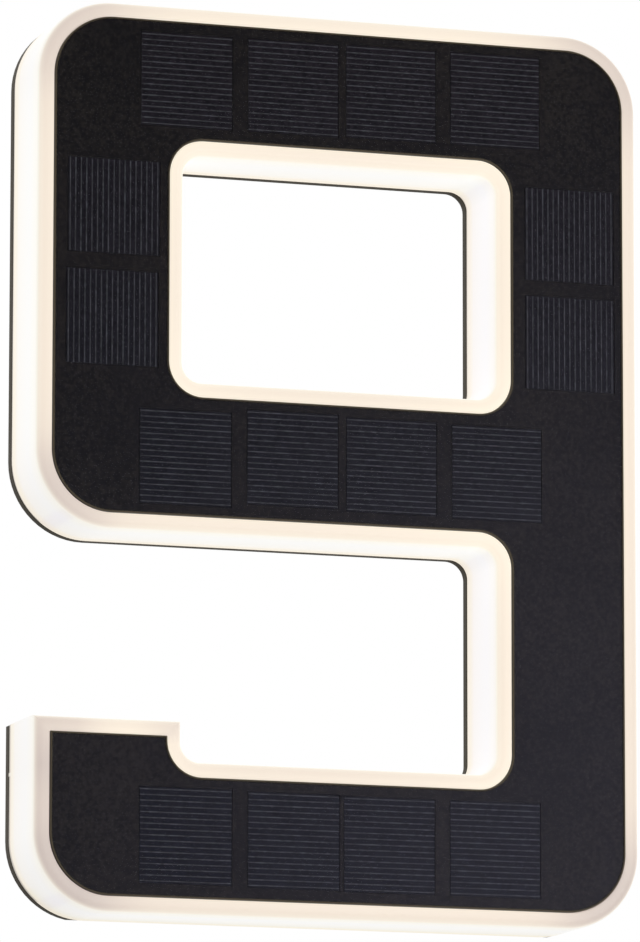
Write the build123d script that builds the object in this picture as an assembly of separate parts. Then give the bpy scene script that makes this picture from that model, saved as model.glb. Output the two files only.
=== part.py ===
from build123d import *
import os

# Illuminated house number sign: a solar powered figure 9 in an opal shell with a dark back plate.
# Frame: X to the reader's right, Z up, the wall behind at Y = 0 and the lit face towards -Y.
# The origin lies on the wall, midway between the entry holes of the two keyholes.
# Heights, written h, are distances out from the wall, so a point at height h has Y = -h.

# ---------------------------------------------------------------- driving dimensions, millimetres

# figure outline, taken on the opal shell
overall_width = 173.5
overall_height = 250.0
stroke = 41.6
hook_height = 52.6
corner_radius = 21.2
inner_radius = 5.4

# layers, from the wall outwards
plate_edge = 2.9
joint_gap = 0.6
shell_depth = 24.4
panel_proud = 0.5

# opal shell
shell_wall = 2.0
deck_thickness = 2.0
rim_width = 4.4
rim_round = 2.5
panel_clearance = 0.15
stub_length = 0.9
stub_thickness = 0.8
stub_height = 0.4
stub_drop = 13.6
boss_diameter = 6.4
pilot_diameter = 2.3
boss_corner_inset = 13.0
boss_edge_inset = 8.6
lead_hole_diameter = 9.0

# solar panel stack
tape_thickness = 0.3
tape_width = 6.0
tape_set_in = 0.3
board_thickness = 1.4
film_thickness = 0.3
cell_size = 26.0
cell_thickness = 0.2
cell_lift = 0.03
cell_pocket_clearance = 0.2
cell_middle_gap = 2.3
cell_gap = 4.1
cell_column_gap = 4.65

# the cells were laid by hand: how far each one lies to the right of and above its even place
cell_shifts = [
    (-0.45, 0.0), (0.1, 0.15), (0.2, 0.45), (0.6, 0.6),
    (-0.4, -0.45), (0.15, 0.75), (0.35, 0.25), (0.9, -0.1),
    (0.05, 0.4), (0.65, 0.2), (-0.25, 0.05), (0.2, 0.1),
    (0.55, 0.45), (0.25, 0.35), (0.7, 0.5), (0.8, 0.6),
]

# back plate
plate_inset = 0.05
plate_chamfer = 0.1
drip_step = 0.45
lip_clearance = 0.2
lip_thickness = 1.6
lip_height = 3.6
gasket_inset = 0.9
gasket_width = 1.0
gasket_groove = 0.6
screw_hole_diameter = 3.0
head_recess_diameter = 5.8
head_recess_depth = 1.6

# keyholes
keyhole_drop = 24.0
keyhole_spacing = 90.0
keyhole_entry_diameter = 9.0
keyhole_slot_width = 4.6
keyhole_slot_rise = 8.0
keyhole_head_space = 4.3
keyhole_side_room = 0.8
pocket_wall = 1.2

# battery and its compartment
cell_diameter = 18.4
battery_length = 65.0
battery_clearance = 0.35
spring_space = 6.0
contact_thickness = 0.5
compartment_wall = 1.4
roof_clearance = 0.6
door_width = 27.0
door_end_margin = 9.0
door_thickness = 2.0
door_set_back = 0.3
door_clearance = 0.3
door_corner_radius = 3.0
door_gasket_thickness = 1.0
ledge_thickness = 1.6
door_screw_inset = 4.8
door_boss_height = 11.0
door_rib_thickness = 1.6
door_gasket_margin = 0.5
door_gasket_land = 0.8
button_height = 1.2
button_diameter = 6.4
can_round = 0.8
contact_width = 12.0
spring_width = 6.0
spring_crown = 1.2
spring_tip_gap = 1.4
tag_width = 3.0
tag_reach = 3.0
tag_height = 14.0
tag_slot_clearance = 0.2

# screws
screw_fit = 0.05
head_diameter = 5.2
head_height = 1.4
housing_screw_length = 10.0
door_screw_length = 8.0
board_screw_length = 5.0
drive_width = 0.7
drive_depth = 0.6

# light boards
light_board_width = 8.0
light_board_thickness = 1.0
light_board_gap = 3.0
column_overrun = 14.5
middle_overrun = 6.0
side_strip_width = 3.6
led_width = 2.8
led_length = 3.5
led_height = 0.7
led_pitch = 15.5
reflector_thickness = 0.4
reflector_clearance = 0.5

# control board and its components
control_shift = 0.0
control_length = 56.0
control_width = 24.0
control_thickness = 1.6
control_height = 8.0
standoff_diameter = 4.6
standoff_inset = 3.2
control_screw_hole = 2.5
control_pilot_diameter = 1.6
control_head_diameter = 3.8
control_head_height = 1.3
chip_shift = -13.0
chip_length = 5.0
chip_width = 4.0
chip_height = 1.55
chip_standoff = 0.15
leg_pitch = 1.27
leg_width = 0.4
leg_length = 1.2
leg_height = 0.5
inductor_shift_x = -3.0
inductor_shift_z = -1.5
inductor_size = 7.0
inductor_base_height = 1.0
inductor_core_diameter = 6.4
inductor_core_height = 3.2
capacitor_shifts = (-20.5, 5.5)
capacitor_diameter = 5.0
capacitor_height = 7.0
capacitor_round = 0.5
header_height = 6.0
header_length = 6.0
header_depth = 4.4
panel_header_shift = 5.4
battery_header_inset = 9.5

# slide switch
switch_length = 8.6
switch_width = 4.4
switch_travel = 3.0
switch_gasket_thickness = 0.8
switch_gasket_rim = 1.0
knob_length = 2.0
knob_width = 1.8
knob_base_extra = 1.0
knob_base_height = 1.2
switch_case_wall = 0.8
knob_tip_height = 0.6
knob_clearance = 0.3
switch_recess_depth = 1.2
switch_recess_margin = 2.5

# leads
lead_diameter = 1.2
lead_bend = 2.4
lead_spacing = 3.2
jumper_rise = 7.0
jumper_spacing = 3.0
jumper_end_inset = 2.0
pad_inset = 1.2
corner_pad_shift = -4.6
corner_pad_spacing = 2.0
terminal_length = 6.4
terminal_width = 3.2
terminal_height = 0.8

# ---------------------------------------------------------------- places worked out from them

half_width = overall_width / 2
z_top = keyhole_drop
z_bottom = keyhole_drop - overall_height
gap_height = (overall_height - 3 * stroke) / 2
z_bottom_bar = z_bottom + stroke / 2
z_middle_bar = z_bottom + 1.5 * stroke + gap_height
z_top_bar = z_top - stroke / 2
z_lower_opening = z_bottom + stroke + gap_height / 2
z_window = z_top - stroke - gap_height / 2
x_left_column = -half_width + stroke / 2
x_stem = half_width - stroke / 2

h_shell_back = plate_edge + joint_gap
h_shell_front = h_shell_back + shell_depth
h_panel_front = h_shell_front + panel_proud
h_board_front = h_panel_front - film_thickness
h_board_back = h_board_front - board_thickness
h_seat = h_board_back - tape_thickness
h_deck_under = h_seat - deck_thickness

lip_outer = shell_wall + lip_clearance
lip_inner = lip_outer + lip_thickness
panel_inset = rim_width

compartment_width = cell_diameter + 2 * battery_clearance
compartment_length = battery_length + spring_space + contact_thickness + battery_clearance
h_roof_out = h_deck_under - roof_clearance
h_roof_in = h_roof_out - compartment_wall
h_battery = h_roof_in - battery_clearance - cell_diameter / 2
door_length = compartment_length + 2 * door_end_margin
h_door_in = door_set_back + door_thickness
h_ledge = h_door_in + door_gasket_thickness
h_ledge_top = h_ledge + ledge_thickness
door_screw_offset = door_length / 2 - door_screw_inset
block_width = door_width + 2 * (door_clearance + ledge_thickness)
block_length = door_length + 2 * (door_clearance + ledge_thickness)
z_cell_low = z_lower_opening - compartment_length / 2 + contact_thickness + battery_clearance

h_control_top = control_height + control_thickness
x_control = control_shift
h_switch_low = plate_edge + switch_gasket_thickness
x_switch = x_control - control_length / 4
z_switch = z_bottom_bar
z_panel_header = z_bottom_bar + panel_header_shift
x_battery_header = x_control + control_length / 2 - battery_header_inset
h_header = h_control_top + header_height
h_terminal = h_board_back - 2 * terminal_height
switch_slot_length = knob_length + switch_travel + 2 * knob_clearance
switch_slot_width = knob_width + 2 * knob_clearance
x_switch_case = x_switch + switch_travel / 2

pocket_room = keyhole_entry_diameter / 2 + keyhole_side_room
pocket_radius = pocket_room + pocket_wall

# ---------------------------------------------------------------- shapes used by several pieces


def digit_outline(inset):
    """The closed outer outline of the figure, drawn in by inset from the shell's own outline."""
    left = -half_width + inset
    right = half_width - inset
    bottom = z_bottom + inset
    top = z_top - inset
    column = -half_width + stroke - inset
    stem = half_width - stroke + inset
    bar_top = z_bottom + stroke - inset
    bowl_bottom = z_bottom + stroke + gap_height + inset
    hook_top = z_bottom + hook_height - inset
    convex = max(corner_radius - inset, 0.5)
    concave = inner_radius + inset
    throat = min(concave, 0.99 * (hook_height - stroke))
    corners = [
        (left, hook_top, 0),
        (left, bottom, convex),
        (right, bottom, convex),
        (right, top, convex),
        (left, top, convex),
        (left, bowl_bottom, convex),
        (stem, bowl_bottom, concave),
        (stem, bar_top, concave),
        (column, bar_top, throat),
        (column, hook_top, 0),
    ]
    points = [(x, z) for x, z, radius in corners]
    radii = [radius for x, z, radius in corners]
    return make_face(FilletPolyline(*points, radius=radii, close=True))


def window_outline(inset):
    """The window of the figure, let out by inset, so that it stays parallel to the bars."""
    width = overall_width - 2 * stroke + 2 * inset
    height = gap_height + 2 * inset
    return Pos(0, z_window) * RectangleRounded(width, height, inner_radius + inset)


def digit_face(inset):
    """The whole figure 9 with its window, drawn in by inset."""
    return digit_outline(inset) - window_outline(inset)


def slab(face, low, high):
    """A flat piece between two heights above the wall."""
    return extrude(Plane.XZ.offset(low) * face, amount=high - low, dir=(0, -1, 0))


def block(x, z, width, length, low, high):
    """A straight-sided block centred on x and z."""
    return slab(Pos(x, z) * Rectangle(width, length), low, high)


def rod(x, z, diameter, low, high):
    """A round pin or hole that stands out from the wall."""
    return slab(Pos(x, z) * Circle(diameter / 2), low, high)


def tube(points, bend):
    """A lead of lead_diameter along straight runs joined by bends, given as (x, z, h) points."""
    path_points = [(x, -h, z) for x, z, h in points]
    if len(path_points) > 2:
        path = FilletPolyline(*path_points, radius=bend)
    else:
        path = Line(*path_points)
    start = Plane(origin=path @ 0, z_dir=path % 0)
    return sweep(start * Circle(lead_diameter / 2), path=path)


def screw(x, z, h_seat_face, length, shank):
    """A pan head screw driven away from the wall, its head bearing on h_seat_face."""
    head = rod(x, z, head_diameter, h_seat_face - head_height, h_seat_face)
    body = head + rod(x, z, shank, h_seat_face, h_seat_face + length)
    low = h_seat_face - head_height
    for width, height in ((drive_width, head_diameter / 2), (head_diameter / 2, drive_width)):
        body -= block(x, z, width, height, low, low + drive_depth)
    return body


def write(name, shape):
    """Save one named piece."""
    export_step(shape, f"parts/{name}.step")


# ---------------------------------------------------------------- places of repeated features


def boss_places():
    """Centres of the closing screws, each near a wall of the figure."""
    near = boss_edge_inset
    corner = boss_corner_inset
    left = -half_width
    bowl = z_bottom + stroke + gap_height
    beside = control_length / 2 + boss_diameter / 2 + light_board_gap / 2
    return [
        (left + corner, z_top - corner),
        (0, z_top - near),
        (half_width - corner, z_top - corner),
        (half_width - near, z_window - gap_height / 2),
        (left + corner, bowl + corner),
        (0, bowl + near),
        (left + near, z_bottom + hook_height - near),
        (left + corner, z_bottom + corner),
        (x_control - beside, z_bottom + near),
        (x_control + beside, z_bottom + stroke - near),
        (half_width - corner, z_bottom + corner),
    ]


def cell_places():
    """Centres of the sixteen solar cells: four in each bar, then two in each side of the bowl."""
    near = (cell_middle_gap + cell_size) / 2
    far = near + cell_size + cell_gap
    rows = [
        (x, z)
        for z in (z_top_bar, z_middle_bar, z_bottom_bar)
        for x in (-far, -near, near, far)
    ]
    rise = (cell_size + cell_column_gap) / 2
    columns = [
        (x, z_window + z)
        for x in (x_left_column, x_stem)
        for z in (rise, -rise)
    ]
    return [(x + dx, z + dz) for (x, z), (dx, dz) in zip(rows + columns, cell_shifts)]


def light_boards():
    """Name, centre x, centre z, width, length and seat height of each board that carries light chips."""
    wide = light_board_width
    gap = light_board_gap
    top_length = keyhole_spacing - 2 * (pocket_radius + gap)
    column_length = gap_height + 2 * column_overrun
    middle_length = overall_width - 2 * stroke + 2 * middle_overrun
    x_boss_edge = half_width - boss_corner_inset - boss_diameter / 2
    x_hook_start = gap - x_boss_edge
    x_hook_end = x_control - control_length / 2 - gap
    x_corner_start = x_control + control_length / 2 + gap
    x_corner_end = x_boss_edge - gap
    z_corner = z_bottom + lip_inner + gap + wide / 2
    strip_x = (compartment_width / 2 + compartment_wall + block_width / 2) / 2
    strip_length = compartment_length - 2 * gap
    return [
        ("led_board_top", 0, z_top_bar, top_length, wide, plate_edge),
        ("led_board_left", x_left_column, z_window, wide, column_length, plate_edge),
        ("led_board_right", x_stem, z_window, wide, column_length, plate_edge),
        ("led_board_middle", 0, z_middle_bar, middle_length, wide, plate_edge),
        ("led_board_hook", (x_hook_start + x_hook_end) / 2, z_bottom_bar,
         x_hook_end - x_hook_start, wide, plate_edge),
        ("led_board_corner", (x_corner_start + x_corner_end) / 2, z_corner,
         x_corner_end - x_corner_start, wide, plate_edge),
        ("led_strip_inner", x_stem - strip_x, z_lower_opening, side_strip_width,
         strip_length, h_ledge_top),
        ("led_strip_outer", x_stem + strip_x, z_lower_opening, side_strip_width,
         strip_length, h_ledge_top),
    ]


def standoff_places():
    """Centres of the four standoffs under the control board."""
    dx = control_length / 2 - standoff_inset
    dz = control_width / 2 - standoff_inset
    return [(x_control + sx * dx, z_bottom_bar + sz * dz) for sx in (-1, 1) for sz in (-1, 1)]


def keyhole_places():
    """Centres of the entry holes of the two keyholes."""
    return [(-keyhole_spacing / 2, 0), (keyhole_spacing / 2, 0)]


def keyhole_pocket(x, z, radius):
    """A long hole from the entry up to the end of the slot, with ends of one radius."""
    ends = Pos(x, z) * Circle(radius) + Pos(x, z + keyhole_slot_rise) * Circle(radius)
    return ends + Pos(x, z + keyhole_slot_rise / 2) * Rectangle(2 * radius, keyhole_slot_rise)


# ---------------------------------------------------------------- the pieces


def diffuser_shell():
    """Opal tray: rounded front rim, seat for the panel, walls, bosses, lead hole, gate stub."""
    blank = slab(digit_face(0), h_shell_back, h_shell_front)
    blank = fillet(blank.faces().sort_by(Axis.Y)[0].edges(), rim_round)
    seat = slab(digit_face(panel_inset - panel_clearance), h_seat, h_shell_front + 1)
    hollow = slab(digit_face(shell_wall), h_shell_back - 1, h_deck_under)
    tray = blank - seat - hollow
    for x, z in boss_places():
        tray += rod(x, z, boss_diameter, plate_edge, h_deck_under)
    for x, z in boss_places():
        tray -= rod(x, z, pilot_diameter, plate_edge - 1, h_deck_under - 2)
    tray -= rod(x_control, z_bottom_bar, lead_hole_diameter, h_deck_under - 1, h_seat + 1)
    x_stub = -half_width + stub_thickness / 2
    z_stub = z_bottom + hook_height - stub_drop
    tray += block(x_stub, z_stub, stub_thickness, stub_length, h_shell_back - stub_height,
                  h_shell_back + 1)
    return tray


def panel_tape():
    """Double sided tape round the edges of the seat, which seals and holds the panel."""
    edge = panel_inset + tape_set_in
    band = digit_face(edge) - digit_face(edge + tape_width)
    return slab(band, h_seat, h_board_back)


def solar_board():
    """Black circuit board that carries the cells in shallow pockets."""
    board = slab(digit_face(panel_inset), h_board_back, h_board_front)
    side = cell_size + 2 * cell_pocket_clearance
    depth = cell_thickness + cell_lift
    for x, z in cell_places():
        board -= block(x, z, side, side, h_board_front - depth, h_board_front + 1)
    return board


def solar_cells():
    """Sixteen square silicon cells."""
    low = h_board_front - cell_thickness - cell_lift
    cells = [
        block(x, z, cell_size, cell_size, low, low + cell_thickness)
        for x, z in cell_places()
    ]
    return Compound(children=cells)


def cover_film():
    """Clear textured film laminated over the board and the cells."""
    return slab(digit_face(panel_inset), h_board_front, h_panel_front)


def solar_terminals():
    """Solder terminals on the back of the board, inside the lead hole of the deck."""
    h_base = h_board_back - terminal_height
    base = block(x_control, z_bottom_bar, terminal_length, terminal_width, h_base, h_board_back)
    for side in (-1, 1):
        x = x_control + side * lead_spacing / 2
        base += rod(x, z_bottom_bar, 1.5 * lead_diameter, h_terminal, h_base)
    return base


def outer_gasket():
    """Seal round the outside of the figure, between back plate and shell."""
    band = digit_outline(gasket_inset) - digit_outline(gasket_inset + gasket_width)
    return slab(band, plate_edge - gasket_groove, h_shell_back)


def window_gasket():
    """Seal round the window, between back plate and shell."""
    band = window_outline(gasket_inset + gasket_width) - window_outline(gasket_inset)
    return slab(band, plate_edge - gasket_groove, h_shell_back)


def battery_compartment():
    """The box for the battery that stands on the plate, solid, with its door bosses."""
    length = compartment_length + 2 * compartment_wall
    width = compartment_width + 2 * compartment_wall
    box = block(x_stem, z_lower_opening, block_width, block_length, plate_edge, h_ledge_top)
    box += block(x_stem, z_lower_opening, width, length, plate_edge, h_roof_out)
    for side in (-1, 1):
        z = z_lower_opening + side * door_screw_offset
        box += rod(x_stem, z, boss_diameter, plate_edge, door_boss_height)
    return box


def door_face(margin):
    """The door's outline, let out by margin."""
    width = door_width + 2 * margin
    length = door_length + 2 * margin
    return Pos(x_stem, z_lower_opening) * RectangleRounded(width, length,
                                                           door_corner_radius + margin)


def cut_compartment(plate):
    """Door recess, battery room, screw pilots and the slots for the contact tags."""
    plate -= slab(door_face(door_clearance), -1, h_ledge)
    plate -= block(x_stem, z_lower_opening, compartment_width, compartment_length,
                   h_ledge - 1, h_roof_in)
    for side in (-1, 1):
        z = z_lower_opening + side * door_screw_offset
        plate -= rod(x_stem, z, pilot_diameter, h_ledge - 1, door_boss_height - 1)
        z_end = z_lower_opening + side * (compartment_length + compartment_wall) / 2
        half_slot = contact_thickness / 2 + tag_slot_clearance
        plate -= block(x_stem, z_end, tag_width + 2 * tag_slot_clearance, compartment_wall + 1,
                       tag_height - half_slot, tag_height + half_slot)
    return plate


def add_keyholes(plate):
    """Closed pockets that take the heads of the wall screws."""
    h_pocket = plate_edge + keyhole_head_space
    for x, z in keyhole_places():
        plate += slab(keyhole_pocket(x, z, pocket_radius), plate_edge, h_pocket + pocket_wall)
    for x, z in keyhole_places():
        plate -= slab(keyhole_pocket(x, z, pocket_room), plate_edge, h_pocket)
        plate -= rod(x, z, keyhole_entry_diameter, -1, plate_edge + 1)
        plate -= slab(keyhole_pocket(x, z, keyhole_slot_width / 2), -1, plate_edge + 1)
    return plate


def cut_switch(plate):
    """Finger recess behind the sign and the slot that the knob moves in."""
    margin = 2 * switch_recess_margin
    plate -= block(x_switch_case, z_switch, switch_slot_length + margin,
                   switch_slot_width + margin, -1, switch_recess_depth)
    plate -= block(x_switch_case, z_switch, switch_slot_length, switch_slot_width, -1,
                   plate_edge + 1)
    return plate


def back_plate():
    """Dark rear half: lip, gasket grooves, keyholes, battery room, standoffs and screw holes.

    Its lowest edge stands back by drip_step, so that water drips off the shell.
    """
    plate = slab(digit_face(plate_inset), 0, plate_edge)
    plate = chamfer(plate.faces().sort_by(Axis.Y)[-1].edges(), plate_chamfer)
    plate -= block(0, z_bottom, overall_width, 2 * drip_step, -1, plate_edge + 1)
    plate += slab(digit_face(lip_outer) - digit_face(lip_inner), plate_edge,
                  plate_edge + lip_height)
    plate += battery_compartment()
    plate = add_keyholes(plate)
    for x, z in standoff_places():
        plate += rod(x, z, standoff_diameter, plate_edge, control_height)
    outer = digit_outline(gasket_inset) - digit_outline(gasket_inset + gasket_width)
    inner = window_outline(gasket_inset + gasket_width) - window_outline(gasket_inset)
    plate -= slab(outer, plate_edge - gasket_groove, plate_edge + joint_gap)
    plate -= slab(inner, plate_edge - gasket_groove, plate_edge + joint_gap)
    for x, z in boss_places():
        plate -= rod(x, z, screw_hole_diameter, -1, plate_edge + 1)
        plate -= rod(x, z, head_recess_diameter, -1, head_recess_depth)
    for x, z in standoff_places():
        plate -= rod(x, z, control_pilot_diameter, h_control_top - board_screw_length - 1,
                     control_height + 1)
    plate = cut_compartment(plate)
    return cut_switch(plate)


def reflector_sheet():
    """White film on the plate, cut out round everything that stands on the plate."""
    room = reflector_clearance
    low = plate_edge
    high = plate_edge + reflector_thickness
    sheet = slab(digit_face(lip_inner + room), low, high)
    for x, z in boss_places():
        sheet -= rod(x, z, boss_diameter + 2 * room, low - 1, high + 1)
    for x, z in standoff_places():
        sheet -= rod(x, z, standoff_diameter + 2 * room, low - 1, high + 1)
    for x, z in keyhole_places():
        sheet -= slab(keyhole_pocket(x, z, pocket_radius + room), low - 1, high + 1)
    for name, x, z, width, length, seat in light_boards():
        sheet -= block(x, z, width + 2 * room, length + 2 * room, low - 1, high + 1)
    sheet -= block(x_stem, z_lower_opening, block_width + 2 * room, block_length + 2 * room,
                   low - 1, high + 1)
    rim = 2 * (switch_gasket_rim + room)
    sheet -= block(x_switch_case, z_switch, switch_length + rim, switch_width + rim,
                   low - 1, high + 1)
    return sheet


def led_places(x, z, width, length):
    """Centres of the light chips, spread evenly along a board."""
    run = max(width, length)
    count = max(1, int(run // led_pitch))
    step = run / count
    offsets = [(i - (count - 1) / 2) * step for i in range(count)]
    if width > length:
        return [(x + d, z) for d in offsets]
    return [(x, z + d) for d in offsets]


def control_led_places():
    """Centres of the light chips on the control board."""
    dx = control_length / 2 - 2 * standoff_inset - led_width
    dz = control_width / 2 - led_length / 2 - pad_inset / 2
    return [(x_control + i * dx, z_bottom_bar + s * dz) for i in (-1, 0, 1) for s in (-1, 1)]


def leds():
    """White light chips on every light board and on the control board."""
    chips = []
    for name, x, z, width, length, seat in light_boards():
        low = seat + light_board_thickness
        for cx, cz in led_places(x, z, width, length):
            chips.append(block(cx, cz, led_width, led_length, low, low + led_height))
    for cx, cz in control_led_places():
        chips.append(block(cx, cz, led_width, led_length, h_control_top,
                           h_control_top + led_height))
    return Compound(children=chips)


def control_board():
    """Charging and light control board with its screw holes."""
    board = block(x_control, z_bottom_bar, control_length, control_width, control_height,
                  h_control_top)
    for x, z in standoff_places():
        board -= rod(x, z, control_screw_hole, control_height - 1, h_control_top + 1)
    return board


def control_chip():
    """Controller in a flat package with eight legs."""
    x = x_control + chip_shift
    low = h_control_top + chip_standoff
    body = block(x, z_bottom_bar, chip_length, chip_width, low, low + chip_height)
    for side in (-1, 1):
        leg_z = z_bottom_bar + side * (chip_width + leg_length) / 2
        for i in range(4):
            leg_x = x + (i - 1.5) * leg_pitch
            body += block(leg_x, leg_z, leg_width, leg_length + 2 * chip_standoff,
                          h_control_top, h_control_top + leg_height)
    return body


def inductor():
    """Round choke on a square base."""
    x = x_control + inductor_shift_x
    z = z_bottom_bar + inductor_shift_z
    h_core = h_control_top + inductor_base_height
    base = block(x, z, inductor_size, inductor_size, h_control_top, h_core)
    return base + rod(x, z, inductor_core_diameter, h_core, h_core + inductor_core_height)


def capacitors():
    """Two upright storage capacitors."""
    cans = []
    for shift in capacitor_shifts:
        can = rod(x_control + shift, z_bottom_bar, capacitor_diameter, h_control_top,
                  h_control_top + capacitor_height)
        can = fillet(can.faces().sort_by(Axis.Y)[0].edges(), capacitor_round)
        cans.append(can)
    return Compound(children=cans)


def headers():
    """Lead sockets: one for the panel in the middle, one for the battery at the right."""
    panel = block(x_control, z_panel_header, header_length, header_depth, h_control_top, h_header)
    battery = block(x_battery_header, z_bottom_bar, header_depth, header_length, h_control_top,
                    h_header)
    return Compound(children=[panel, battery])


def board_screws():
    """Four small screws that hold the control board on its standoffs."""
    screws = []
    shank = control_pilot_diameter - 2 * screw_fit
    h_head = h_control_top + control_head_height
    cross = 0.6 * control_head_diameter
    for x, z in standoff_places():
        body = rod(x, z, control_head_diameter, h_control_top, h_head)
        body += rod(x, z, shank, h_control_top - board_screw_length, h_control_top)
        for width, height in ((drive_width, cross), (cross, drive_width)):
            body -= block(x, z, width, height, h_head - drive_depth, h_head + 1)
        screws.append(body)
    return Compound(children=screws)


def switch_body():
    """Case of the slide switch, soldered under the control board, open where the knob moves."""
    x = x_switch_case
    case = block(x, z_switch, switch_length, switch_width, h_switch_low, control_height)
    low = h_switch_low + switch_case_wall
    case -= block(x, z_switch, switch_slot_length + 2 * knob_base_extra,
                  switch_slot_width + knob_base_extra, low,
                  low + knob_base_height + 2 * knob_clearance)
    case -= block(x, z_switch, switch_slot_length, switch_slot_width, h_switch_low - 1, low + 0.5)
    return case


def switch_knob():
    """Knob that slides between on, at rest, and off, at switch_travel."""
    low = h_switch_low + switch_case_wall + knob_clearance
    base = block(x_switch, z_switch, knob_length + 2 * knob_base_extra,
                 knob_width + knob_base_extra, low, low + knob_base_height)
    return base + block(x_switch, z_switch, knob_length, knob_width, knob_tip_height, low)


def switch_gasket():
    """Foam ring between the switch case and the plate."""
    x = x_switch_case
    rim = 2 * switch_gasket_rim
    ring = block(x, z_switch, switch_length + rim, switch_width + rim, plate_edge, h_switch_low)
    ring -= block(x, z_switch, switch_slot_length, switch_slot_width, plate_edge - 1,
                  h_switch_low + 1)
    return ring


def battery():
    """Round rechargeable cell that stands in the stem, with its plus button at the lower end."""
    plane = Plane(origin=(x_stem, -h_battery, z_cell_low), z_dir=(0, 0, 1))
    can = extrude(plane.offset(button_height) * Circle(cell_diameter / 2),
                  battery_length - button_height)
    can = fillet(can.faces().sort_by(Axis.Z)[0].edges(), can_round)
    return can + extrude(plane * Circle(button_diameter / 2), button_height)


def contact_plate(side):
    """A flat contact on one end wall of the compartment, with a tag that leaves through it."""
    z_wall = z_lower_opening + side * compartment_length / 2
    half = contact_width / 2
    reach = compartment_wall + tag_reach
    plate = block(x_stem, z_wall - side * contact_thickness / 2, contact_width,
                  contact_thickness, h_battery - half, h_battery + half)
    return plate + block(x_stem, z_wall + side * reach / 2, tag_width, reach,
                         tag_height - contact_thickness / 2, tag_height + contact_thickness / 2)


def battery_contact():
    """Flat plus contact at the lower end."""
    return contact_plate(-1)


def battery_spring():
    """Minus contact at the upper end, with a folded blade that presses on the cell."""
    z_face = z_lower_opening + compartment_length / 2 - contact_thickness
    half = contact_width / 2
    depth = spring_space - contact_thickness - tag_slot_clearance
    profile = [
        (-half, 0),
        (0, -depth + spring_crown / 4),
        (spring_crown, -depth),
        (2 * spring_crown, -depth + spring_crown / 4),
        (half, -spring_tip_gap),
    ]
    near = [(-(h_battery + a), z_face + b) for a, b in profile]
    far = [(y, z + contact_thickness) for y, z in reversed(near)]
    outline = make_face(Polyline(*near, *far, close=True))
    blade = extrude(Plane.YZ.offset(x_stem - spring_width / 2) * outline, amount=spring_width,
                    dir=(1, 0, 0))
    return contact_plate(1) + blade


def battery_door():
    """Screwed cover behind the battery, with two ribs that hold the cell."""
    door = slab(door_face(0), door_set_back, h_door_in)
    h_rib = h_battery - cell_diameter / 2 - battery_clearance
    for side in (-1, 1):
        z = z_lower_opening + side * battery_length / 4
        door += block(x_stem, z, cell_diameter - 2 * compartment_wall, door_rib_thickness,
                      h_door_in, h_rib)
    for side in (-1, 1):
        z = z_lower_opening + side * door_screw_offset
        door -= rod(x_stem, z, screw_hole_diameter, -1, h_door_in + 1)
        door -= rod(x_stem, z, head_recess_diameter, -1, door_set_back + head_height)
    return door


def door_gasket():
    """Flat seal between the door and its ledge."""
    land = 2 * door_gasket_land
    face = door_face(-door_gasket_margin)
    face -= Pos(x_stem, z_lower_opening) * Rectangle(compartment_width + land,
                                                     compartment_length + land)
    ring = slab(face, h_door_in, h_ledge)
    for side in (-1, 1):
        z = z_lower_opening + side * door_screw_offset
        ring -= rod(x_stem, z, screw_hole_diameter, 0, h_ledge + 1)
    return ring


def door_screws():
    """Two screws that hold the door."""
    shank = pilot_diameter - 2 * screw_fit
    seat = door_set_back + head_height
    places = [(x_stem, z_lower_opening + side * door_screw_offset) for side in (-1, 1)]
    return Compound(children=[screw(x, z, seat, door_screw_length, shank) for x, z in places])


def housing_screws():
    """The screws that close the back plate on the shell."""
    shank = pilot_diameter - 2 * screw_fit
    screws = [
        screw(x, z, head_recess_depth, housing_screw_length, shank)
        for x, z in boss_places()
    ]
    return Compound(children=screws)


def solar_leads():
    """Two leads from the panel's terminals down to their socket."""
    h_mid = (h_terminal + h_header) / 2
    leads = []
    for side in (-1, 1):
        x = x_control + side * lead_spacing / 2
        path = [(x, z_bottom_bar, h_terminal), (x, z_bottom_bar, h_mid), (x, z_panel_header, h_mid),
                (x, z_panel_header, h_header)]
        leads.append(tube(path, lead_bend))
    return Compound(children=leads)


def battery_leads():
    """One lead from each contact tag to the battery socket."""
    x_socket = x_battery_header + header_depth / 2
    z_low = z_bottom_bar - lead_spacing / 2
    z_high = z_bottom_bar + lead_spacing / 2
    reach = compartment_length / 2 + compartment_wall + tag_reach
    z_plus = z_lower_opening - reach
    z_minus = z_lower_opening + reach
    x_side = x_stem - compartment_width / 2 - compartment_wall - 2 * lead_diameter
    z_turn = z_minus + 2 * lead_bend
    plus = [(x_socket, z_low, tag_height), (x_stem, z_low, tag_height),
            (x_stem, z_plus, tag_height)]
    minus = [(x_socket, z_high, tag_height), (x_side, z_high, tag_height),
             (x_side, z_turn, tag_height), (x_stem, z_turn, tag_height),
             (x_stem, z_minus, tag_height)]
    return Compound(children=[tube(plus, lead_bend), tube(minus, lead_bend)])


def jumper(start, end, h_start, h_end):
    """One lead that arches from the top of one board to the top of another."""
    h_top = max(h_start, h_end) + jumper_rise
    path = [(*start, h_start), (*start, h_top), (*end, h_top), (*end, h_end)]
    return tube(path, lead_bend / 2)


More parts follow.
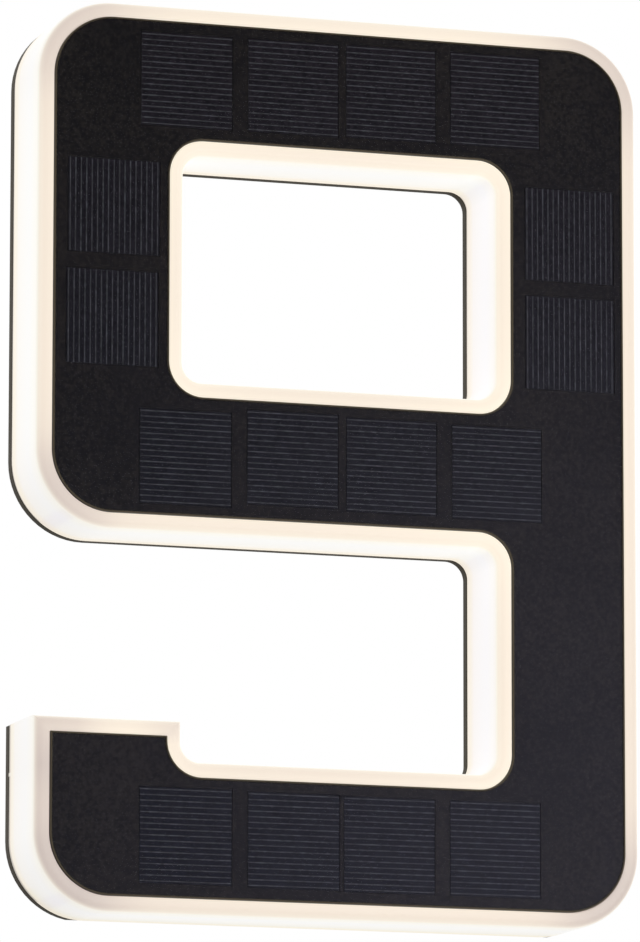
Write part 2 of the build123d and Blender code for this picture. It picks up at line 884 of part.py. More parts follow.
def led_leads():
    """Pairs of leads that join the light boards and the control board."""
    boards = {name: sizes for name, *sizes in light_boards()}
    inset = jumper_end_inset
    leads = []

    def end_of(name, side, shift):
        x, z, width, length, seat = boards[name]
        if width > length:
            return (x + side * (width / 2 - inset), z + shift)
        return (x + shift, z + side * (length / 2 - inset))

    def top_of(name):
        return boards[name][4] + light_board_thickness

    pairs = [
        ("led_board_top", -1, "led_board_left", 1),
        ("led_board_top", 1, "led_board_right", 1),
        ("led_board_left", -1, "led_board_middle", -1),
        ("led_board_right", -1, "led_board_middle", 1),
    ]
    for first, side_a, second, side_b in pairs:
        for shift in (-jumper_spacing / 2, jumper_spacing / 2):
            start = end_of(first, side_a, shift)
            end = end_of(second, side_b, shift)
            leads.append(jumper(start, end, top_of(first), top_of(second)))
    edge = control_length / 2 - pad_inset
    z_corner_pads = z_bottom_bar + corner_pad_shift
    for side in (-1, 1):
        start = end_of("led_board_hook", 1, side * jumper_spacing / 2)
        end = (x_control - edge, z_bottom_bar + side * jumper_spacing / 2)
        leads.append(jumper(start, end, top_of("led_board_hook"), h_control_top))
        start = end_of("led_board_corner", -1, side * jumper_spacing / 2)
        end = (x_control + edge, z_corner_pads + side * corner_pad_spacing / 2)
        leads.append(jumper(start, end, top_of("led_board_corner"), h_control_top))
    return Compound(children=leads)


# ---------------------------------------------------------------- write every piece

os.makedirs("parts", exist_ok=True)

pieces = [
    diffuser_shell,
    back_plate,
    panel_tape,
    solar_board,
    solar_cells,
    cover_film,
    solar_terminals,
    outer_gasket,
    window_gasket,
    reflector_sheet,
    leds,
    control_board,
    control_chip,
    inductor,
    capacitors,
    headers,
    board_screws,
    switch_body,
    switch_knob,
    switch_gasket,
    battery,
    battery_contact,
    battery_spring,
    battery_door,
    door_gasket,
    door_screws,
    housing_screws,
    solar_leads,
    battery_leads,
    led_leads,
]

for piece in pieces:
    write(piece.__name__, piece())

for name, x, z, width, length, seat in light_boards():
    write(name, block(x, z, width, length, seat, seat + light_board_thickness))
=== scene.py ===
# %% [markdown]
# # An illuminated house number: the looks of a solar figure 9
#
# The imported model already holds every rigid piece at its real size. This lesson
# dresses it: the camera of the photograph comes first, then the light, then the
# opal shell, the solar panel, the dark back plate and what hides inside. The
# frame is loaded before anything else, because each new surface is measured
# against it.

import bpy
import numpy as np
from mathutils import Matrix


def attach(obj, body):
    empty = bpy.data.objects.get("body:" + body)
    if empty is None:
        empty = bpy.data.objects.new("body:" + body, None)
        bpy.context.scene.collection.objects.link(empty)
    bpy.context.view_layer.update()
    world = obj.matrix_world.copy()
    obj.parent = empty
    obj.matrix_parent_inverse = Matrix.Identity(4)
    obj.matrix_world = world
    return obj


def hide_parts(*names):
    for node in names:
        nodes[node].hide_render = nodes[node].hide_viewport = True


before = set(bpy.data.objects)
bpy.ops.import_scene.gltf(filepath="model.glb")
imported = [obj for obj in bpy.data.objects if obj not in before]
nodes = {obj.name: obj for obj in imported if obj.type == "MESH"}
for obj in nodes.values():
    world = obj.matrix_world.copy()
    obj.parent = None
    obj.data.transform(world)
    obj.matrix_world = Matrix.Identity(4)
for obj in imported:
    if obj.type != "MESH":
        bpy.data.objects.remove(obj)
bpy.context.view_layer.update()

scene = bpy.context.scene
scene.view_settings.view_transform = "Standard"

# %% [markdown]
# ## Units and colours
#
# Drawings of such a sign are in millimetres, while Blender works in metres, so
# one constant turns one into the other. A colour picked on a screen is an sRGB
# code, and a shader wants linear light. One function does that step for every
# colour below.

# %% Millimetres and colour codes
MM = 0.001


def to_linear(code):
    """An sRGB hex code as linear RGBA: c / 12.92 when dark, else ((c + 0.055) / 1.055) ** 2.4."""
    srgb = np.array([int(code[i:i + 2], 16) for i in (1, 3, 5)]) / 255
    bright = ((srgb + 0.055) / 1.055) ** 2.4
    linear = np.where(srgb <= 0.04045, srgb / 12.92, bright)
    return (*linear.tolist(), 1.0)


print("mid grey #808080 in linear light:", round(to_linear("#808080")[0], 3))

# %% [markdown]
# ## The camera of the photograph
#
# The photograph was taken from the left and a little below with a long lens: the
# left walls of the figure show, and so do the undersides. The straight edges of
# the figure gave the camera's turn, its distance and the focal length together.
# A camera matrix is three directions and a place. The view direction comes from
# yaw and pitch, the level direction is square to it, and the roll turns both
# other axes about the view. This is clearer than three Euler angles.

# %% Place the camera
aim = np.array([-6.27, -28.38, -103.08]) * MM
yaw, pitch, roll = np.radians([18.474, 9.417, 0.075])
distance = 2094.5 * MM

ahead = np.array([np.sin(yaw) * np.cos(pitch), np.cos(yaw) * np.cos(pitch), np.sin(pitch)])
level = np.array([np.cos(yaw), -np.sin(yaw), 0.0])
above = np.cross(level, ahead)
right = np.cos(roll) * level + np.sin(roll) * above
top = np.cos(roll) * above - np.sin(roll) * level

camera = bpy.data.objects.new("photo_camera", bpy.data.cameras.new("photo_camera"))
scene.collection.objects.link(camera)
pose = np.eye(4)
pose[:3, 0] = right
pose[:3, 1] = top
pose[:3, 2] = -ahead
pose[:3, 3] = aim - distance * ahead
camera.matrix_world = Matrix(pose.tolist())
camera.data.sensor_width = 36
camera.data.lens = 293.05
scene.camera = camera
print("camera at", np.round(pose[:3, 3], 3), "m, lens", camera.data.lens, "mm")

# %% [markdown]
# ## Nodes for materials
#
# A material is a small tree of nodes. Adding one always means the same things:
# make it, set its own options, and give each input a value or a link. One helper
# does all of that for any kind of node, and a second one starts a material with
# its plain values set straight on the shader, where an exporter can read them.

# %% Helpers for materials
def add_node(tree, kind, inputs=None, stops=None, **settings):
    """Adds a node. An input gets a value, or a link when a socket is given; stops fill a ramp."""
    node = tree.nodes.new("ShaderNode" + kind)
    for name, value in settings.items():
        setattr(node, name, value)
    for name, value in (inputs or {}).items():
        if isinstance(value, bpy.types.NodeSocket):
            tree.links.new(value, node.inputs[name])
        else:
            node.inputs[name].default_value = value
    if stops:
        ramp = node.color_ramp.elements
        while len(ramp) < len(stops):
            ramp.new(0.5)
        for element, (position, code) in zip(ramp, sorted(stops)):
            element.position = position
            element.color = to_linear(code)
    return node


def start_material(name, **surface):
    """A new material whose one shader has these plain values; _ in a name stands for a space."""
    material = bpy.data.materials.new(name)
    material.use_nodes = True
    shader = material.node_tree.nodes["Principled BSDF"]
    for socket, value in surface.items():
        shader.inputs[socket.replace("_", " ")].default_value = value
    return material, material.node_tree, shader


def dress(material, *names):
    """Gives one material to each named node of the frame."""
    for name in names:
        nodes[name].data.materials.clear()
        nodes[name].data.materials.append(material)


print("helpers ready: add_node, start_material, dress")

# %% [markdown]
# ## Studio light
#
# The picture is a product shot on white. A large soft light at the front right
# gives the panel its faint sheen, which grows towards the lower right, and a
# second one from the left lights the side walls and the edge of the plate. The
# world is white for the camera and for reflections, and dimmer for the light it
# adds, so that colours come out about as they are written.

# %% Lamps
def softbox(name, place, target, width, height, watts):
    """A rectangular lamp whose face looks from place to target, both in metres."""
    lamp = bpy.data.lights.new(name, "AREA")
    lamp.shape = "RECTANGLE"
    lamp.size = width
    lamp.size_y = height
    lamp.energy = watts
    obj = bpy.data.objects.new(name, lamp)
    scene.collection.objects.link(obj)
    back = np.subtract(place, target) / np.linalg.norm(np.subtract(place, target))
    side = np.cross([0, 0, 1], back)
    side = side / np.linalg.norm(side)
    turn = np.eye(4)
    turn[:3, 0] = side
    turn[:3, 1] = np.cross(back, side)
    turn[:3, 2] = back
    turn[:3, 3] = place
    obj.matrix_world = Matrix(turn.tolist())
    obj.visible_camera = False


softbox("softbox_right", place=(0.6, -1.24, -0.16), target=(0.06, -0.03, -0.18),
        width=0.5, height=0.6, watts=8.8)
softbox("softbox_left", place=(-1.5, -0.9, 0.4), target=(0.0, -0.015, -0.1),
        width=1.0, height=1.2, watts=6.2)
print("two soft lamps")

# %% World
world = bpy.data.worlds.new("white_studio")
scene.world = world
world.use_nodes = True
tree = world.node_tree
ray = add_node(tree, "LightPath")
seen = add_node(tree, "Math", {0: ray.outputs["Is Camera Ray"], 1: ray.outputs["Is Glossy Ray"]},
                operation="MAXIMUM")
seen = add_node(tree, "Math", {0: seen.outputs[0], 1: ray.outputs["Is Transmission Ray"]},
                operation="MAXIMUM")
strength = add_node(tree, "MapRange", {"Value": seen.outputs[0], "To Min": 0.48, "To Max": 1.0})
background = tree.nodes["Background"]
background.inputs["Color"].default_value = to_linear("#FFFFFF")
tree.links.new(strength.outputs["Result"], background.inputs["Strength"])
print("white world for the camera, softer as a light")

# %% [markdown]
# ## The floor
#
# The sign hangs in the air in the picture, with nothing behind it. A pale floor
# lies well below it and out of the main view, and it takes the soft shadow when
# the sign is looked at from above.

# %% Floor
def mesh_object(name, points, faces):
    """A mesh object at the origin from an array of points and a list or array of faces."""
    mesh = bpy.data.meshes.new(name)
    mesh.from_pydata(np.asarray(points).tolist(), [], np.asarray(faces).tolist())
    obj = bpy.data.objects.new(name, mesh)
    scene.collection.objects.link(obj)
    return obj


half = 4.0
z_floor = -0.8
floor = mesh_object("floor", [(-half, -half, z_floor), (half, -half, z_floor),
                              (half, half, z_floor), (-half, half, z_floor)], [(0, 1, 2, 3)])
paint, tree, shader = start_material("matt_floor_paint", Roughness=0.9)
place = add_node(tree, "TexCoord")
cloud = add_node(tree, "TexNoise", {"Vector": place.outputs["Object"], "Scale": 3.0, "Detail": 3.0})
tone = add_node(tree, "ValToRGB", {"Fac": cloud.outputs["Fac"]}, [(0.3, "#EFEEEB"), (0.7, "#F4F3F1")])
tree.links.new(tone.outputs["Color"], shader.inputs["Base Color"])
floor.data.materials.append(paint)
print("floor at", z_floor, "m")

# %% [markdown]
# ## The figure as a path
#
# Shell, panel and plate all follow one outline, drawn in by different amounts.
# The outline is a closed path of straight runs and quarter arcs. At each point of
# it there is a direction that leads into the figure. Moving every point by d times
# that direction draws the whole outline in by d: an outer corner's arc gets
# tighter, an inner corner's arc gets wider, and a sharp corner stays sharp. So a
# ring of the shell is a profile of (inset, height) pairs carried along the path.
# Beside a sharp corner the path has no points for 6 mm, because a drawn-in ring
# would fold over any that lie closer to it than the inset.

# %% Outline of the figure 9
WIDTH, HEIGHT, STROKE, HOOK = 173.5, 250.0, 41.6, 52.6
CORNER, INNER = 21.2, 5.4
Z_TOP = 24.0
left, right_side = -WIDTH / 2, WIDTH / 2
z_low = Z_TOP - HEIGHT
gap = (HEIGHT - 3 * STROKE) / 2
column, stem = left + STROKE, right_side - STROKE
z_bar, z_hook, z_bowl = z_low + STROKE, z_low + HOOK, z_low + STROKE + gap

figure = [(left, z_hook, 0), (left, z_low, CORNER), (right_side, z_low, CORNER),
          (right_side, Z_TOP, CORNER), (left, Z_TOP, CORNER), (left, z_bowl, CORNER),
          (stem, z_bowl, INNER), (stem, z_bar, INNER), (column, z_bar, INNER),
          (column, z_hook, 0)]
opening = [(column, Z_TOP - STROKE, INNER), (stem, Z_TOP - STROKE, INNER),
           (stem, z_bowl + STROKE, INNER), (column, z_bowl + STROKE, INNER)]
SHARP_ROOM = 6.0
LARGE_ARC_POINTS, SMALL_ARC_POINTS = 25, 13


def walk(corners, step, extra=()):
    """Points of a closed path, and the direction into the figure at each.

    The path turns a right angle at every corner. A corner's arc starts r before
    it and is centre - r (a' cos t + b' sin t) for a left turn, with a' and b' the
    directions to the left of the runs before and after, and + for a right turn.
    The direction inwards is a' cos t + b' sin t in both. extra adds (x, z) points.
    """
    spots = np.array([c[:2] for c in corners], float)
    radii = np.array([c[2] for c in corners], float)
    runs = np.roll(spots, -1, 0) - spots
    runs = runs / np.linalg.norm(runs, axis=1)[:, None]
    before = np.roll(runs, 1, 0)
    lefts = np.stack([-runs[:, 1], runs[:, 0]], 1)
    lefts_before = np.roll(lefts, 1, 0)
    turn = np.sign(before[:, 0] * runs[:, 1] - before[:, 1] * runs[:, 0])
    points, inward = [], []
    for i, (x, z, r) in enumerate(corners):
        if r:
            t = np.linspace(0, np.pi / 2, LARGE_ARC_POINTS if r > INNER else SMALL_ARC_POINTS)[:, None]
            centre = spots[i] + r * turn[i] * (lefts_before[i] + lefts[i])
            into = lefts_before[i] * np.cos(t) + lefts[i] * np.sin(t)
            points.append(centre - r * turn[i] * into)
            inward.append(into)
        else:
            points.append(spots[i][None])
            inward.append((lefts_before[i] + lefts[i])[None])
        start = points[-1][-1]
        following = (i + 1) % len(corners)
        end = spots[following] - radii[following] * runs[i]
        length = np.linalg.norm(end - start)
        along = np.linspace(0, length, int(np.ceil(length / step)) + 1)[1:-1]
        from_here = 0 if r else SHARP_ROOM
        to_there = length - (0 if radii[following] else SHARP_ROOM)
        along = along[(along > from_here) & (along < to_there)]
        near = [float((np.array(p) - start) @ runs[i]) for p in extra
                if abs(float((np.array(p) - start) @ lefts[i])) < 1e-6]
        along = np.unique(np.concatenate([along, [s for s in near if 0 < s < length]]))
        points.append(start + along[:, None] * runs[i])
        inward.append(np.repeat(lefts[i][None], len(along), 0))
    return np.concatenate(points), np.concatenate(inward)


PATH_STEP = 3.0
STUB_Z, STUB_HALF, STUB_FOOT = z_hook - 13.6, 0.45, 0.5
stub_edges = [(left, STUB_Z + side * reach) for side in (-1, 1) for reach in (STUB_HALF, STUB_FOOT)]
outer_path = walk(figure, PATH_STEP, stub_edges)
window_path = walk(opening, PATH_STEP)
print(len(outer_path[0]), "points round the figure,", len(window_path[0]), "round its window")

# %% [markdown]
# ## The opal shell
#
# The shell is one injection moulding of opal polycarbonate: a 2 mm wall, a 2.5 mm
# round at the front, a flat rim, and a step down to the seat of the panel. The
# light shows differently on each of these, so the mesh needs a coordinate that
# runs along the profile. Sweeping the profile gives that coordinate for free as a
# UV map: u is the distance from the rear edge in millimetres, over 30, and v runs
# along the path. The swept rings are closed by the two flat faces of the deck.

# %% Profile of the wall and rim
BACK, FRONT, WALL, ROUND = 3.5, 27.9, 2.0, 2.5
SEAT, DECK, RIM = 26.4, 24.4, 4.25
EASE, STUB_DEPTH, U_LENGTH = 0.15, 0.8, 30

angle = np.linspace(0, np.pi / 2, 13)[1:]
wall_up = np.concatenate([[BACK + EASE, BACK + 1, BACK + 2], np.linspace(8, FRONT - ROUND, 8)])
profile = np.array(
    [(WALL, h) for h in np.linspace(DECK, BACK + EASE, 8)]
    + [(WALL - EASE, BACK), (STUB_DEPTH + 0.05, BACK), (STUB_DEPTH, BACK), (EASE, BACK)]
    + [(0.0, h) for h in wall_up]
    + list(zip(ROUND * (1 - np.cos(angle)), FRONT - ROUND + ROUND * np.sin(angle)))
    + [(3.1, FRONT), (3.7, FRONT), (RIM - 0.1, FRONT), (RIM, FRONT - 0.1), (RIM, SEAT)])
steps = np.linalg.norm(np.diff(profile, axis=0), axis=1)
along_profile = np.concatenate([[0], np.cumsum(steps)])
REAR = int((profile[:, 0] == 0).argmax())
along_profile = along_profile - along_profile[REAR]
u_profile = along_profile / U_LENGTH
print("the profile has", len(profile), "points over", round(float(steps.sum()), 1), "mm")


# %% Carry a profile along a path
def sweep(path, profile):
    """Points (path, profile, 3) in metres: path point + inset * direction inwards, at Y = -height."""
    points, inward = path
    flat = points[:, None, :] + profile[None, :, :1] * inward[:, None, :]
    heights = np.broadcast_to(-profile[None, :, 1], flat.shape[:2])
    return np.stack([flat[..., 0], heights, flat[..., 1]], 2) * MM


def ring_faces(rows, columns, first):
    """Quads of a grid that closes on itself along its rows; the corners run row by row."""
    i, j = np.meshgrid(np.arange(rows), np.arange(columns - 1), indexing="ij")
    k = (i + 1) % rows
    quads = np.stack([i * columns + j, k * columns + j, k * columns + j + 1,
                      i * columns + j + 1], -1)
    return first + quads.reshape(-1, 4)


def ring_uv(path, u):
    """UV (path, profile, corner, 2) as ring_faces orders them: u on the profile, v on the path."""
    lengths = np.linalg.norm(np.roll(path[0], -1, 0) - path[0], axis=1)
    v = np.concatenate([[0], np.cumsum(lengths)]) / lengths.sum()
    low, a = np.meshgrid(u[:-1], v[:-1])
    high, b = np.meshgrid(u[1:], v[1:])
    return np.stack([low, a, low, b, high, b, high, a], -1).reshape(len(lengths), -1, 4, 2)


outer_grid, window_grid = sweep(outer_path, profile), sweep(window_path, profile)
outer_uv, window_uv = ring_uv(outer_path, u_profile), ring_uv(window_path, u_profile)
print("rings of", outer_grid.shape[:2], "and", window_grid.shape[:2], "points")

# %% [markdown]
# The moulding gate left a small stub on the rear edge of the left wall. It reaches
# 0.4 mm into the dark joint line and shines there, because light runs along the
# plastic into it. It is made by moving a few points of the ring, and its u values
# are set to a bright part of the wall.

# %% Gate stub
STUB_HEIGHT, TINY = 0.4, 0.01
LIT_FROM, LIT_TO, BRIGHT_PLACE = -1.2, 1.5, 4

on_left = outer_path[0][:, 0] < left + TINY
in_stub = (np.abs(outer_path[0][:, 1] - STUB_Z) < STUB_HALF + TINY) & on_left
rear = (profile[:, 1] < BACK + EASE + TINY) & (profile[:, 0] < STUB_DEPTH + TINY)
outer_grid[np.ix_(in_stub, rear)] += np.array([0, STUB_HEIGHT, 0]) * MM
bright = np.where((along_profile[:-1] > LIT_FROM) & (along_profile[:-1] < LIT_TO))[0]
outer_uv[np.ix_(np.where(in_stub)[0], bright, range(4), [0])] = BRIGHT_PLACE / U_LENGTH
print("stub columns:", int(in_stub.sum()))

# %% [markdown]
# Eleven bosses stand on the underside of the deck and take the closing screws.
# They are turned shapes: one profile of (radius, height) spun round each centre,
# all worked out as a single array. The deck's two faces are flat areas with a
# hole, which a triangle fill closes from their rims.

# %% Bosses
IN_CORNER, FROM_EDGE, FOOT_X = 13, 8.6, 32.7
BOSS_RADIUS, BORE_RADIUS, BOSS_END, BOSS_EASE, BORE_TOP = 3.2, 1.15, 2.9, 0.1, DECK - 2
BORE_POLE, BOSS_SIDES, BOSS_UV = 0.02, 24, 0.3
bosses = np.array([(left + IN_CORNER, Z_TOP - IN_CORNER), (0, Z_TOP - FROM_EDGE),
                   (right_side - IN_CORNER, Z_TOP - IN_CORNER),
                   (right_side - FROM_EDGE, Z_TOP - STROKE - gap),
                   (left + IN_CORNER, z_bowl + IN_CORNER), (0, z_bowl + FROM_EDGE),
                   (left + FROM_EDGE, z_hook - FROM_EDGE), (left + IN_CORNER, z_low + IN_CORNER),
                   (-FOOT_X, z_low + FROM_EDGE), (FOOT_X, z_bar - FROM_EDGE),
                   (right_side - IN_CORNER, z_low + IN_CORNER)])
boss_profile = np.array([(BOSS_RADIUS, DECK), (BOSS_RADIUS, BOSS_END + BOSS_EASE),
                         (BOSS_RADIUS - BOSS_EASE, BOSS_END), (BORE_RADIUS + BOSS_EASE, BOSS_END),
                         (BORE_RADIUS, BOSS_END + BOSS_EASE), (BORE_RADIUS, BORE_TOP),
                         (BORE_POLE, BORE_TOP)])


def turned(centres, profile, sides):
    """Points (centre, side, profile, 3): centre + radius * (cos, sin), at Y = -height."""
    t = np.arange(sides) * 2 * np.pi / sides
    radius, height = profile[:, 0], profile[:, 1]
    x = centres[:, None, None, 0] + radius * np.cos(t)[None, :, None]
    z = centres[:, None, None, 1] + radius * np.sin(t)[None, :, None]
    y = np.broadcast_to(-height, x.shape)
    return np.stack([x, y, z], -1) * MM


boss_grid = turned(bosses, boss_profile, BOSS_SIDES)
print(len(bosses), "bosses")

# %% One mesh for the shell
import bmesh

points = [outer_grid.reshape(-1, 3), window_grid.reshape(-1, 3)]
faces = [ring_faces(*outer_grid.shape[:2], 0), ring_faces(*window_grid.shape[:2], len(points[0]))]
uvs = [outer_uv.reshape(-1, 2), window_uv.reshape(-1, 2)]
first = len(points[0]) + len(points[1])
for boss in boss_grid:
    points.append(boss.reshape(-1, 3))
    faces.append(ring_faces(*boss.shape[:2], first))
    uvs.append(np.full((len(faces[-1]) * 4, 2), BOSS_UV))
    first += len(points[-1])

shell = mesh_object("opal_shell", np.concatenate(points), np.concatenate(faces))
uv = shell.data.uv_layers.new(name="profile")
uv.data.foreach_set("uv", np.concatenate(uvs).astype(np.float32).ravel())


def fill_flat(mesh, areas):
    """Closes flat areas, each given by the vertex loops round it, and turns all faces outwards."""
    work = bmesh.new()
    work.from_mesh(mesh)
    work.verts.ensure_lookup_table()
    for loops in areas:
        edges = []
        for loop in loops:
            rim = [work.verts[i] for i in loop.tolist()]
            edges += [work.edges.get(pair) for pair in zip(rim, rim[1:] + rim[:1])]
        bmesh.ops.triangle_fill(work, use_beauty=True, use_dissolve=False, edges=edges)
    bmesh.ops.recalc_face_normals(work, faces=work.faces)
    work.to_mesh(mesh)
    work.free()


def rims(columns, column):
    """The vertex loops that one profile point draws round the figure and round its window."""
    outer, window = np.arange(len(outer_path[0])), np.arange(len(window_path[0]))
    return [outer * columns + column, (len(outer) + window) * columns + column]


fill_flat(shell.data, [rims(len(profile), 0), rims(len(profile), len(profile) - 1)])
shell.data.set_sharp_from_angle(angle=np.radians(40))
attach(shell, "sign")
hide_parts("diffuser_shell")
print("opal shell:", len(shell.data.polygons), "faces")

# %% [markdown]
# ## How much light reaches each place
#
# The white inside of the tray mixes the light of the chips, so the whole floor of
# the tray shines. A place on the rim gets light from the part of the floor around
# it: all round at an inner corner, from half a circle along a straight run, and
# from a quarter at an outer corner, which is why those corners look greyer. This
# is added up over spots 4 mm apart on the floor, 24 mm below the rim: each gives
# one over the square of its squared distance, to which 10 mm squared is added so
# that the sum changes softly.

# %% Add up the light of the floor
def inside(spots, path):
    """Which spots lie in a closed path: those with an odd number of path edges to their right."""
    (x0, z0), (x1, z1) = path[0].T, np.roll(path[0], -1, 0).T
    x, z = spots[:, :1], spots[:, 1:]
    crosses = (z0 > z) != (z1 > z)
    rise = np.where(z1 == z0, 1, z1 - z0)
    return ((crosses & (x < x0 + (z - z0) / rise * (x1 - x0))).sum(1) % 2).astype(bool)


SPOT_STEP, RIM_INSET = 4.0, 3
FLOOR_TO_RIM, SOFTENING = 24, 10

spots = np.stack(np.meshgrid(np.arange(left + SPOT_STEP / 2, right_side, SPOT_STEP),
                             np.arange(z_low + SPOT_STEP / 2, Z_TOP, SPOT_STEP)), -1).reshape(-1, 2)
spots = spots[inside(spots, outer_path) & ~inside(spots, window_path)]
rim_places = np.concatenate([p[0] + RIM_INSET * p[1] for p in (outer_path, window_path)])
apart = ((rim_places[:, None] - spots[None]) ** 2).sum(2)
light = (1 / (apart + FLOOR_TO_RIM ** 2 + SOFTENING ** 2) ** 2).sum(1)
light = light / np.median(light)
print(len(spots), "spots; light from", round(float(light.min()), 2), "to",
      round(float(light.max()), 2))

# %% [markdown]
# The sum alone doesn't give the picture's tones, so a curve turns it into a share
# of the full glow. That curve and the other numbers of this cell were matched to
# the photograph, and aren't worked out from the lamps. The rim is brighter at the
# top of the figure than at its foot and beside the end of the hook, and a little
# dimmer and pinker towards the right. Where the glow is weak it is pink too, so
# the share has a power of its own for red, green and blue. The side walls stand
# right beside the light, so they hardly follow it.

# %% A share of the full glow
Z_EVEN = -60
LEAST_BY_HEIGHT = [0.55, 0.55, 0.68]
LIGHT_SUMS, LIGHT_SHARES = [0.76, 0.93, 1.0, 1.35], [0, 0.85, 1.0, 1.27]
GAIN_BY_HEIGHT = [0.97, 1.02, 1.02, 1.14]
HOOK_GAIN, HOOK_REACH_X, HOOK_REACH_Z = 0.33, 25, 10
COLOUR_POWERS = np.array([1.25, 1.45, 1.25])
X_FADES, LOSS_AT_RIGHT = 20, np.array([0.02, 0.035, 0.05])
ROUND_PLACE, RIM_PLACE, WALL_FOLLOWS = 22.8, 24.2, 0.12

x, z = rim_places.T
least = np.interp(z, [z_low, Z_EVEN, Z_TOP], LEAST_BY_HEIGHT)
share = least + np.interp(light, LIGHT_SUMS, LIGHT_SHARES) * (1 - least)
share = share * np.interp(z, [z_low, Z_EVEN, 0, Z_TOP], GAIN_BY_HEIGHT)
from_hook_x = (x - (left + column) / 2) / HOOK_REACH_X
from_hook_z = (z - z_hook) / HOOK_REACH_Z
share = share + HOOK_GAIN * np.exp(-from_hook_x ** 2 - from_hook_z ** 2)
share = share[:, None] ** COLOUR_POWERS
share = share * (1 - np.interp(x, [X_FADES, right_side], [0, 1])[:, None] * LOSS_AT_RIGHT)
follows = np.interp(along_profile, [ROUND_PLACE, RIM_PLACE], [WALL_FOLLOWS, 1.0])
glow_share = 1 + follows[None, :, None] * (share[:, None, :] - 1)
print("shares on the rim from", round(float(share.min()), 2), "to", round(float(share.max()), 2))

# %% [markdown]
# The walls need a few shares of their own, matched to the photograph as well. Along
# the left walls the seal behind the wall keeps the light from the first half
# millimetre, which shows as a grey line, and the line is wider towards the foot.
# The rear edge of the window's right wall is dim for the same reason. Inside the
# two openings the walls that face left glow a little less, and the lowest wall is
# creamier near its rear. The shares are kept on the mesh for the material to read.

# %% Rear edges and walls
ABOVE_REAR = REAR + 1
SEALED, WINDOW_REAR, STUB_GLOW = 0.0, 0.4, 0.7
Z_WIDE, Z_NARROW, SHARE_WHERE_WIDE = -190, -120, 0.5
LEFT_ZONE, FOOT_ZONE = 10, 10
WALL_START, WALL_END, LOW_WALL_END = 0.5, 22.5, 8
OPENING_TINT, FOOT_TINT = [0.95, 0.94, 0.985], [0.96, 0.97, 0.94]

inwards = np.concatenate([outer_path[1], window_path[1]])
faces_left, faces_down = inwards[:, 0] > 0.5, inwards[:, 1] > 0.5
of_window = np.arange(len(x)) >= len(outer_path[0])
outer_left = faces_left & (x < left + LEFT_ZONE)
glow_share[outer_left, REAR] = SEALED
glow_share[outer_left, ABOVE_REAR] = np.interp(z[outer_left], [Z_WIDE, Z_NARROW],
                                               [SHARE_WHERE_WIDE, 1.0])[:, None]
glow_share[faces_left & of_window, REAR] = WINDOW_REAR
glow_share[: len(outer_path[0])][in_stub, REAR:ABOVE_REAR + 1] = STUB_GLOW
for which, end, tint in ((faces_left & ~outer_left, WALL_END, OPENING_TINT),
                         (faces_down & (z < z_low + FOOT_ZONE), LOW_WALL_END, FOOT_TINT)):
    columns = np.where((along_profile > WALL_START) & (along_profile < end))[0]
    glow_share[np.ix_(np.where(which)[0], columns)] *= np.array(tint)
values = np.ones((len(shell.data.vertices), 3))
values[: glow_share.size // 3] = glow_share.reshape(-1, 3)
shell.data.attributes.new("glow_share", "FLOAT_VECTOR", "POINT")
shell.data.attributes["glow_share"].data.foreach_set("vector", values.astype(np.float32).ravel())
print("shares kept for", len(values), "points")

# %% [markdown]
# ## Opal polycarbonate
#
# Opal polycarbonate is clear plastic with fine white particles. Moulded in a
# polished tool and lit from behind, it glows evenly, with a satin skin. Along the
# profile the glow changes: cream beside the joint, then white up to the middle of
# the round, and a step to the warmer, dimmer rim, which the light doesn't face.
# Light also leaks past the edge of the panel and draws a thin bright line there. A
# ramp on the profile's u coordinate holds those tones. The plastic itself is
# written grey, because what it doesn't reflect it lets through.

# %% Opal material
opal, tree, shader = start_material(
    "opal_polycarbonate_satin_moulded", Roughness=0.45, IOR=1.585, Specular_IOR_Level=0.2,
    Emission_Strength=1.0, Base_Color=to_linear("#A9A49F"))
profile_uv = add_node(tree, "UVMap", uv_map="profile")
split = add_node(tree, "SeparateXYZ", {"Vector": profile_uv.outputs["UV"]})
tones_by_mm = [(0.0, "#D2C9B8"), (2.6, "#D3CCBD"), (6, "#D3D2CE"), (16, "#D2D4D5"), (22.6, "#D5D4CC"),
               (23.6, "#C6BBAA"), (24.7, "#BEAF9D"), (25.6, "#BBAC99"), (27.2, "#C1B39F"),
               (27.5, "#DFD6C6")]
glow = add_node(tree, "ValToRGB", {"Fac": split.outputs["X"]},
                [(mm / U_LENGTH, code) for mm, code in tones_by_mm])
reach = add_node(tree, "Attribute", attribute_name="glow_share")
lit = add_node(tree, "VectorMath", {0: glow.outputs["Color"], 1: reach.outputs["Vector"]},
               operation="MULTIPLY")
place = add_node(tree, "TexCoord")
skin = add_node(tree, "TexNoise", {"Vector": place.outputs["Object"], "Scale": 1 / (0.5 * MM),
                                   "Detail": 2.0})
bump = add_node(tree, "Bump", {"Height": skin.outputs["Fac"], "Strength": 0.1,
                               "Distance": 0.01 * MM})
tree.links.new(lit.outputs["Vector"], shader.inputs["Emission Color"])
tree.links.new(bump.outputs["Normal"], shader.inputs["Normal"])
shell.data.materials.append(opal)
print("opal glows along", len(profile), "profile points")

# %% [markdown]
# ## The solar board
#
# The front is a circuit board with black solder mask, pressed together with its
# cells under a film with a fine pressed pattern. From a step away the whole front
# looks a dull, slightly warm black with a fine dark mottle, and a soft blue sheen
# grows over it towards the lower right. The mottle is partly tone and partly
# relief, so board and cells carry both. The real pattern is near 0.4 mm and is
# drawn at 0.95 mm, so that it shows. The sheen's colour is a tint on the shader.

# %% Mottle shared by board and cells
SHEEN = to_linear("#E1DDFF")


